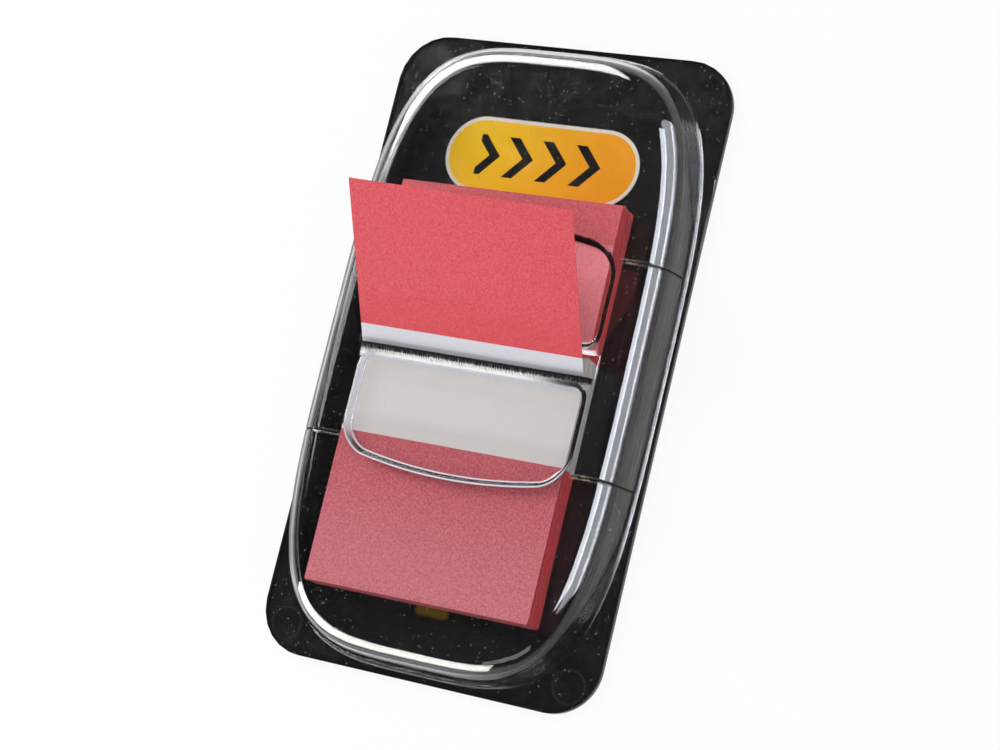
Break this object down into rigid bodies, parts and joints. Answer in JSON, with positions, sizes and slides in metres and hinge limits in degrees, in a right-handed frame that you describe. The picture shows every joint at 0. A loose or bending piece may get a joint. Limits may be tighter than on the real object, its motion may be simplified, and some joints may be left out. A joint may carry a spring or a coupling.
{
  "type": "sticky index tab dispenser",
  "caption": "Flat pocket dispenser of film index tabs: black card, clear formed cover with a slot, and a red-tipped tab drawn up through it.",
  "frame": {"origin": "centre of the card's back face, on the surface that the dispenser lies on", "axes": "+X across the card along the slot, +Y along the card towards the end that the drawn tab leans to, +Z out of the card through the clear cover"},
  "size_m": [0.0386, 0.0682, 0.0169],
  "materials": {
    "black_card": "gloss black coated card",
    "clear_film": "clear thermoformed film",
    "flag_stack": "stacked film edges, red and frosted white",
    "flag_film": "frosted film with a red end",
    "flag_tip": "matt red print on frosted film"
  },
  "bodies": {
    "root": {"back_card": "black_card", "clear_cover": "clear_film", "flag_stack": "flag_stack", "next_flag": "flag_film", "popped_flag": "flag_tip"}
  },
  "joints": []
}
